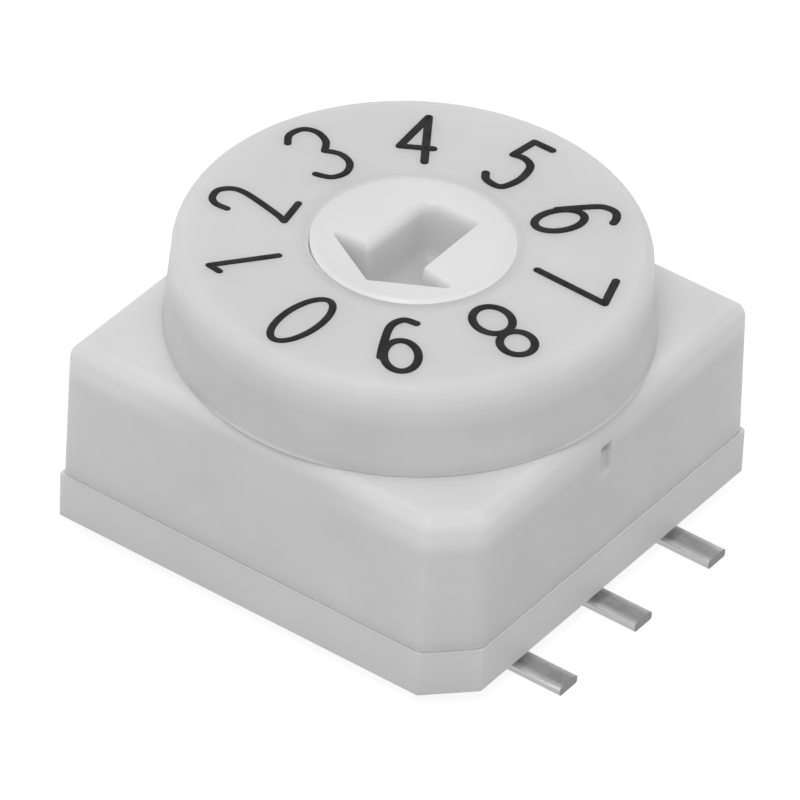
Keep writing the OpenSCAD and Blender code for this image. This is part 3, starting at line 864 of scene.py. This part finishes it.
def fresh_material(name):
    """A material with an empty Principled shader, and the object's coordinates."""
    material = bpy.data.materials.new(name)
    material.use_nodes = True
    tree = material.node_tree
    tree.nodes.clear()
    shader = tree.nodes.new("ShaderNodeBsdfPrincipled")
    node(tree, "ShaderNodeOutputMaterial", Surface=shader.outputs["BSDF"])
    where = tree.nodes.new("ShaderNodeTexCoord")
    return material, tree, shader, where.outputs["Object"]


def effect(tree, group, where, **values):
    """A shared effect placed in a material with its own values."""
    made = node(tree, "ShaderNodeGroup", {"node_tree": group})
    for label, value in values.items():
        made.inputs[label.replace("_", " ")].default_value = value
    tree.links.new(where, made.inputs["Vector"])
    return made


def blend_colour(tree, factor, dark, light):
    """A colour between two, by a factor."""
    mix = node(tree, "ShaderNodeMix", {"data_type": "RGBA"})
    tree.links.new(factor, mix.inputs[FACTOR])
    mix.inputs[FIRST].default_value = (*dark, 1)
    mix.inputs[SECOND].default_value = (*light, 1)
    return mix.outputs[MIXED]


def surface(tree, shader, colour, rough, height, strength, depth):
    """Feeds a shader its colour, its roughness and a relief of that depth in millimetres."""
    bump = node(tree, "ShaderNodeBump", {"Strength": strength, "Distance": depth * MM}, Height=height)
    tree.links.new(colour, shader.inputs["Base Color"])
    tree.links.new(rough, shader.inputs["Roughness"])
    tree.links.new(bump.outputs["Normal"], shader.inputs["Normal"])


def toned(material, mask, colour, blend="MIX"):
    """Mixes a colour into a material's own where a mask is one."""
    tree = material.node_tree
    shader = next(n for n in tree.nodes if n.type == "BSDF_PRINCIPLED")
    mix = node(tree, "ShaderNodeMix", {"data_type": "RGBA", "blend_type": blend})
    tree.links.new(mask, mix.inputs[FACTOR])
    tree.links.new(shader.inputs["Base Color"].links[0].from_socket, mix.inputs[FIRST])
    mix.inputs[SECOND].default_value = (*colour, 1)
    tree.links.new(mix.outputs[MIXED], shader.inputs["Base Color"])


def coordinates(material):
    """The socket of a material's object coordinates."""
    return next(n for n in material.node_tree.nodes if n.type == "TEX_COORD").outputs["Object"]


def in_metres(size):
    """A length or a point, from millimetres."""
    return tuple(s * MM for s in size) if isinstance(size, tuple) else size * MM


def painted_light_and_shade(material, group, share, **sizes):
    """Multiplies a material's colour by share where a group's mask is one, as painted light where share is
    above one and painted shade where it is below; sizes are in millimetres.
    """
    metres = {label: in_metres(size) for label, size in sizes.items()}
    mask = effect(material.node_tree, group, coordinates(material), **metres)
    toned(material, mask.outputs["Shade"], grey(share), "MULTIPLY")


def plastic(name, group, level, rough, scatter):
    """Moulded plastic with cloudy colour, fine grain and light that spreads a little under the skin."""
    material, tree, shader, where = fresh_material(name)
    face = effect(tree, group, where, Cloud_size=2.5, Grain_size=0.07)
    cloud = spread(tree, face.outputs["Cloud"], 0.3, 0.7)
    surface(tree, shader, blend_colour(tree, cloud, grey(level * 0.965), grey(level * 1.03)),
            spread(tree, face.outputs["Scuff"], 0.25, 0.75, rough - 0.06, rough + 0.08),
            face.outputs["Grain"], 0.25, 0.004)
    shader.inputs["Subsurface Weight"].default_value = scatter
    shader.inputs["Subsurface Radius"].default_value = (1, 1, 1)
    shader.inputs["Subsurface Scale"].default_value = 1.2 * MM
    shader.inputs["IOR"].default_value = 1.5
    return material


def printed_ink(name, group):
    """Matt black printing ink."""
    material, tree, shader, where = fresh_material(name)
    face = effect(tree, group, where, Cloud_size=0.35, Grain_size=0.04)
    cloud = spread(tree, face.outputs["Cloud"], 0.35, 0.7)
    surface(tree, shader, blend_colour(tree, cloud, grey(0.012), grey(0.026)),
            spread(tree, face.outputs["Grain"], 0.3, 0.7, 0.42, 0.62), face.outputs["Grain"], 0.3, 0.004)
    shader.inputs["Specular IOR Level"].default_value = 0.12
    return material


def sheet_metal(name, group, dark, light, rough, stretch):
    """Plated strip, with its rolling marks drawn out where stretch is small."""
    material, tree, shader, where = fresh_material(name)
    face = effect(tree, group, where, Stretch=stretch)
    patch = face.outputs["Patch"]
    surface(tree, shader, blend_colour(tree, spread(tree, patch, 0.3, 0.7), dark, light),
            spread(tree, patch, 0.3, 0.75, rough - 0.08, rough + 0.1), face.outputs["Roll"], 0.35, 0.003)
    shader.inputs["Metallic"].default_value = 1.0
    return material


def tone_leads(tin):
    """Painted reflection on the long sides of the leads, painted shade on the tin close to the solder plane,
    and dark sheared ends, partly bare cut metal and partly painted dark reflection.
    """
    tree = tin.node_tree
    place = node(tree, "ShaderNodeSeparateXYZ", Vector=coordinates(tin))
    aside = maths(tree, "PINGPONG", place.outputs["Y"], LEAD_PITCH / 2 * MM)
    out = maths(tree, "ABSOLUTE", place.outputs["X"])
    # Painted reflection: the long sides are brighter
    toned(tin, spread(tree, aside, 0.12 * MM, 0.235 * MM), grey(0.84))
    # Painted shade: the tin is darker close to the solder plane
    toned(tin, spread(tree, place.outputs["Z"], 0.185 * MM, 0.13 * MM), grey(0.46))
    # Sheared ends: dark, partly bare cut metal and partly painted dark reflection
    toned(tin, spread(tree, out, (LEAD_TIP - 0.003) * MM, (LEAD_TIP - 0.001) * MM), grey(0.2))


def cured(name, group, level, rough):
    """Cured resin or rubber."""
    material, tree, shader, where = fresh_material(name)
    face = effect(tree, group, where, Cloud_size=0.9, Grain_size=0.09)
    surface(tree, shader, blend_colour(tree, face.outputs["Cloud"], grey(level * 0.75), grey(level * 1.3)),
            spread(tree, face.outputs["Scuff"], 0.3, 0.7, rough - 0.1, rough + 0.1),
            face.outputs["Scuff"], 0.4, 0.01)
    return material


def band(middle, half, soft):
    """A recess mask's sizes for a band of height that reaches past every side."""
    past = 6
    return {"Centre": (0, 0, middle), "Half_size": (past, past, half), "Soft": (0.1, 0.1, soft)}


skin, sheet, recess, ring = moulded_skin(), rolled_sheet(), recess_shade(), joint_ring()
cover_plastic = plastic("cover plastic", skin, 0.66, 0.45, 0.45)
base_plastic = plastic("base plastic", skin, 0.66, 0.5, 0.3)
wheel_plastic = plastic("wheel plastic", skin, 0.61, 0.45, 0.5)
boss_plastic = plastic("boss plastic", skin, 0.71, 0.34, 0.2)
digit_ink = printed_ink("digit ink", skin)
lead_tin = sheet_metal("lead tin", sheet, grey(0.48), grey(0.57), 0.3, (0.08, 1, 1))
gold_plate = sheet_metal("gold plate", sheet, (0.80, 0.55, 0.20), (0.95, 0.70, 0.32), 0.28, (1, 0.1, 1))
spring_steel = sheet_metal("spring steel", sheet, grey(0.45), grey(0.6), 0.3, (0.1, 1, 1))
seal_rubber = cured("seal rubber", skin, 0.03, 0.6)
potting_resin = cured("potting resin", skin, 0.05, 0.35)
tone_leads(lead_tin)

# Painted shade: the boss's slot is darker further down, and more so at its floor
painted_light_and_shade(boss_plastic, recess, 0.96, Centre=(0.1, -0.2, BOSS_TOP - 1.4), Half_size=(1.8, 1.7, 1.35),
       Soft=(0.2, 0.2, 1.0))
painted_light_and_shade(boss_plastic, recess, 0.87, Centre=(0.1, -0.2, BOSS_TOP - 1.5), Half_size=(1.8, 1.7, 0.36),
       Soft=(0.2, 0.2, 0.24))

# Painted light on both edges of the joint round the boss, standing in for light scattered through the plastic
painted_light_and_shade(wheel_plastic, ring, 1.22, Inner=HEAD_R, Outer=HEAD_R + 0.13)
painted_light_and_shade(boss_plastic, ring, 1.15, Inner=HEAD_R, Outer=HEAD_R - 0.13)

# Painted light: the wheel is brighter on the rounding of its top edge and along its foot
painted_light_and_shade(wheel_plastic, recess, 1.10, **band(DIAL_TOP - 0.51, 0.48, 0.28))
painted_light_and_shade(wheel_plastic, recess, 1.07, **band(DIAL_TOP - 0.33, 0.30, 0.20))
painted_light_and_shade(wheel_plastic, recess, 1.30, **band(DIAL_Z - WHEEL_DROP, 0.11, 0.09))

# Painted light: the cover's top is brighter near the wheel
painted_light_and_shade(cover_plastic, ring, 1.11, Inner=WHEEL_R, Outer=6.4, Above=COVER_Z - 0.15)

# Painted light on the rounding of the cover's top edge, with painted shade that takes it back at its upper
# end and in the middle of the -Y side
painted_light_and_shade(cover_plastic, recess, 1.14, **band(COVER_Z - 0.5, 0.42, 0.35))
painted_light_and_shade(cover_plastic, recess, 0.95, **band(COVER_Z - 0.05, 0.09, 0.06))
painted_light_and_shade(cover_plastic, recess, 0.88, Centre=(0, -4.9, COVER_Z - 0.5), Half_size=(3.2, 0.4, 0.42),
       Soft=(1.8, 0.1, 0.35))

# Painted shade: the cover's +X side is a little darker, and the upper end of its notch more so
painted_light_and_shade(cover_plastic, recess, 0.95, Centre=(5.1, -0.9, 2.9), Half_size=(0.4, 3.9, 1.6), Soft=(0.1, 1.0, 0.3))
painted_light_and_shade(cover_plastic, recess, 0.84, Centre=(4.66, 0, 3.94), Half_size=(0.17, 0.21, 0.15),
       Soft=(0.05, 0.05, 0.06))

# Painted light on the cover at the joint, and painted shade on the base's edge there
painted_light_and_shade(cover_plastic, recess, 1.28, **band(PART_Z, 0.11, 0.08))
painted_light_and_shade(base_plastic, recess, 0.93, **band(PART_Z, 0.03, 0.02))


# Pieces on their bodies

def dress(piece, material, body, slot, *nodes):
    """Gives a piece its material, puts it on its body and hides the CAD nodes it replaces; slot, which names
    where its finish comes from, is not used.
    """
    piece.data.materials.clear()
    piece.data.materials.append(material)
    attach(piece, body)
    if nodes:
        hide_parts(*nodes)


dress(build_cover(), cover_plastic, "housing", "cover_plastic", "cover")
dress(softened("base_plate", "base", 0.016), base_plastic, "housing", "base_plastic", "base")
dress(build_wheel(), wheel_plastic, "selector", "dial_plastic", "dial")
dress(build_boss(), boss_plastic, "selector", "rotor_plastic", "rotor")
strip = strip_tree()
for bit in (1, 2, 4, 8):
    dress(build_lead(strip, bit, lead_tin), lead_tin, "housing", "lead_tin", "terminal_%d" % bit)
dress(build_common_lead(strip, lead_tin), lead_tin, "housing", "lead_tin", "terminal_common")
dress(build_digits(ink_tree(), digit_ink), digit_ink, "selector", None)

# CAD nodes that stay, with a better material
inside = {"code_disc": gold_plate, "detent_spring": spring_steel, "shaft_seal": seal_rubber,
          "resin_left": potting_resin, "resin_right": potting_resin}
inside.update({"contact_" + name: gold_plate for name in ("1", "2", "4", "8", "common")})
for name, material in inside.items():
    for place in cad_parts[name].material_slots:
        place.material = material


# Light, floor and camera

WHITE = (1, 1, 1, 1)


def plain_white(tree, rest):
    """Strength 1 for what the camera, gloss and glass see, and rest for the light on the object."""
    path = tree.nodes.new("ShaderNodeLightPath")
    seen = maths(tree, "MAXIMUM", path.outputs["Is Camera Ray"], path.outputs["Is Glossy Ray"])
    return spread(tree, maths(tree, "MAXIMUM", seen, path.outputs["Is Transmission Ray"]), 0, 1, rest, 1.0)


def build_world():
    """Even light from all round, before a white background."""
    world = bpy.data.worlds.new("studio")
    bpy.context.scene.world = world
    world.use_nodes = True
    tree = world.node_tree
    tree.nodes.clear()
    back = node(tree, "ShaderNodeBackground", {"Color": WHITE}, Strength=plain_white(tree, 0.84))
    node(tree, "ShaderNodeOutputWorld", Surface=back.outputs[0])


def build_lamp():
    """A large soft lamp above and in front, a little to the left of the camera."""
    sun = bpy.data.lights.new("soft key", "SUN")
    sun.energy = 0.75
    sun.angle = radians(22)
    lamp = bpy.data.objects.new("soft key", sun)
    az, el = radians(15), radians(58)
    beam = Vector((-sin(az) * cos(el), cos(az) * cos(el), -sin(el)))
    lamp.rotation_euler = beam.to_track_quat("-Z", "Y").to_euler()
    bpy.context.scene.collection.objects.link(lamp)


def build_floor():
    """A pale round floor that keeps the object's shadow and gives back little light."""
    bm = bmesh.new()
    bmesh.ops.create_circle(bm, cap_ends=True, segments=96, radius=0.35)
    mesh = mesh_of(bm, "floor")
    floor = bpy.data.objects.new("floor", mesh)
    bpy.context.scene.collection.objects.link(floor)
    material = bpy.data.materials.new("floor")
    material.use_nodes = True
    tree = material.node_tree
    tree.nodes.clear()
    card = node(tree, "ShaderNodeEmission", {"Color": WHITE, "Strength": 0.38})
    thin = node(tree, "ShaderNodeBsdfDiffuse", {"Color": (0.2, 0.2, 0.2, 1)})
    glow = node(tree, "ShaderNodeEmission", {"Color": WHITE, "Strength": 0.86})
    lit = fed(tree, node(tree, "ShaderNodeAddShader"), thin.outputs[0], glow.outputs[0])
    mix = fed(tree, node(tree, "ShaderNodeMixShader"), plain_white(tree, 0.0), card.outputs[0], lit)
    node(tree, "ShaderNodeOutputMaterial", Surface=mix)
    mesh.materials.append(material)


def build_camera():
    """The photograph's view, fitted to the edges of base, cover, dial and leads."""
    az, el, roll = radians(35.1332), radians(38.3708), radians(2.5157)
    aim, distance, aside, above = Vector((0, 0, 3.07)), 194.1225, -0.139657, -0.265
    image_px, px_per_mm, film = 800, 49.9680, 36
    back = Vector((sin(az) * cos(el), -cos(az) * cos(el), sin(el)))
    right = Vector((cos(az), sin(az), 0))
    up = back.cross(right)
    across = cos(roll) * right + sin(roll) * up
    upward = -sin(roll) * right + cos(roll) * up
    place = (back * distance + across * aside + upward * above + aim) * MM
    data = bpy.data.cameras.new("camera")
    data.lens = px_per_mm * distance / image_px * film
    data.sensor_width = film
    data.clip_start, data.clip_end = 0.005, 5
    camera = bpy.data.objects.new("camera", data)
    turn = Matrix((across, upward, back)).transposed().to_4x4()
    camera.matrix_world = Matrix.Translation(place) @ turn
    bpy.context.scene.collection.objects.link(camera)
    bpy.context.scene.camera = camera


build_world()
build_lamp()
build_floor()
build_camera()
bpy.context.scene.view_settings.view_transform = "Standard"
